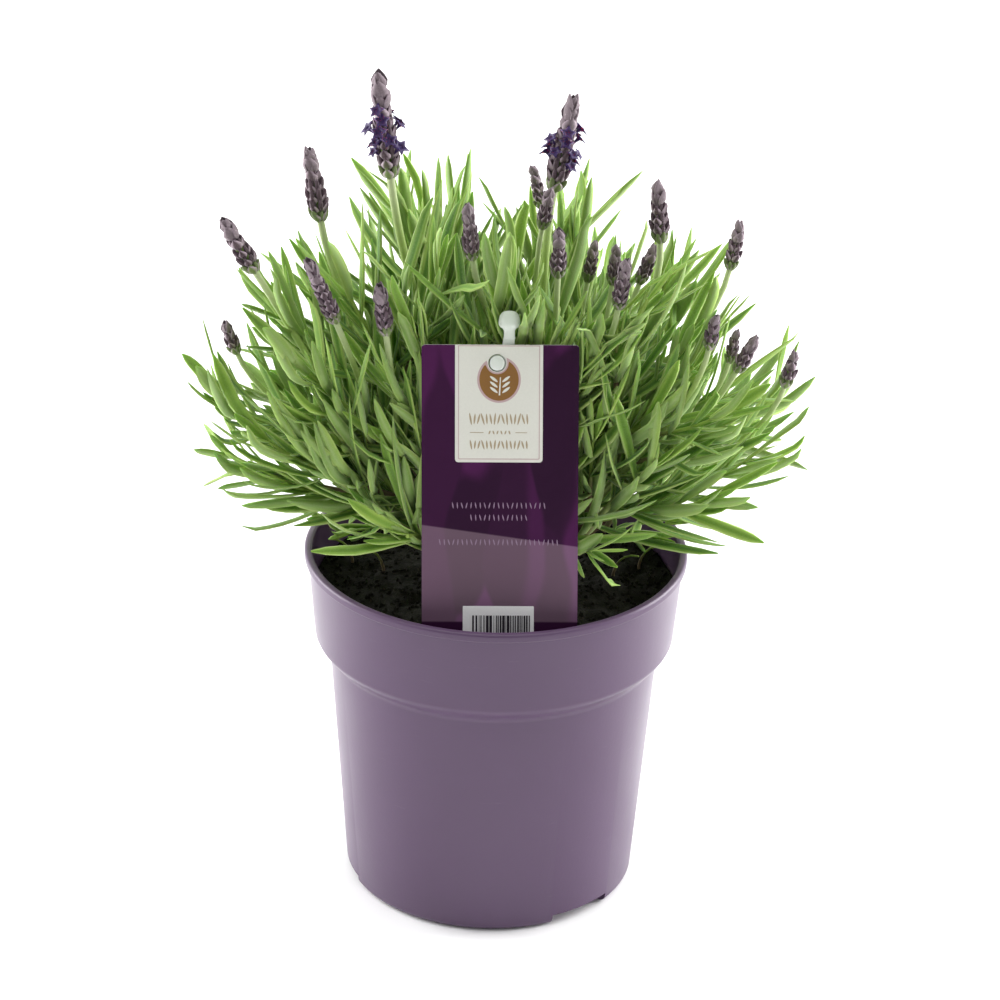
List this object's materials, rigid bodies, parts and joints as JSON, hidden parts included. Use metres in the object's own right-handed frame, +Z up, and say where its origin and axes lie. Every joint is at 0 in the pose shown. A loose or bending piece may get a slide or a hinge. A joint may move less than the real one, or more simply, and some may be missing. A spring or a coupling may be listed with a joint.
{
  "type": "potted lavender",
  "caption": "Bushy lavender plant with narrow leaves and flower spikes in a round tapered plastic pot, with a printed card on a clear stake.",
  "frame": {"origin": "centre of the pot's base, on the surface it stands on", "axes": "+Z up, -Y towards the side with the label card, +X to the right as the card is seen"},
  "size_m": [0.2109, 0.1711, 0.29],
  "materials": {
    "pot_plastic": "satin",
    "peat": "rough, moist",
    "printed_card": "printed, semi-gloss",
    "clear_plastic": "translucent",
    "bark": "rough",
    "leaf": "matt, finely felted",
    "flower": "matt, downy"
  },
  "bodies": {
    "root": {"pot": "pot_plastic", "soil": "peat", "label_card": "printed_card", "label_stake": "clear_plastic", "woody_base": "bark", "shoot_01": "leaf", "shoot_02": "leaf", "shoot_03": "leaf", "shoot_04": "leaf", "shoot_05": "leaf", "shoot_06": "leaf", "shoot_07": "leaf", "shoot_08": "leaf", "shoot_09": "leaf", "shoot_10": "leaf", "shoot_11": "leaf", "shoot_12": "leaf", "shoot_13": "leaf", "shoot_14": "leaf", "shoot_15": "leaf", "shoot_16": "leaf", "shoot_17": "leaf", "shoot_18": "leaf", "shoot_19": "leaf", "shoot_20": "leaf", "shoot_21": "leaf", "shoot_22": "leaf", "shoot_23": "leaf", "shoot_24": "leaf", "shoot_25": "leaf", "shoot_26": "leaf", "shoot_27": "leaf", "shoot_28": "leaf", "shoot_29": "leaf", "shoot_30": "leaf", "flower_stem_01": "flower", "flower_stem_02": "flower", "flower_stem_03": "flower", "flower_stem_04": "flower", "flower_stem_05": "flower", "flower_stem_06": "flower", "flower_stem_07": "flower", "flower_stem_08": "flower", "flower_stem_09": "flower", "flower_stem_10": "flower", "flower_stem_11": "flower", "flower_stem_12": "flower", "flower_stem_13": "flower", "flower_stem_14": "flower", "flower_stem_15": "flower", "flower_stem_16": "flower", "flower_stem_17": "flower", "flower_stem_18": "flower", "flower_stem_19": "flower", "flower_stem_20": "flower", "flower_stem_21": "flower"}
  },
  "joints": []
}
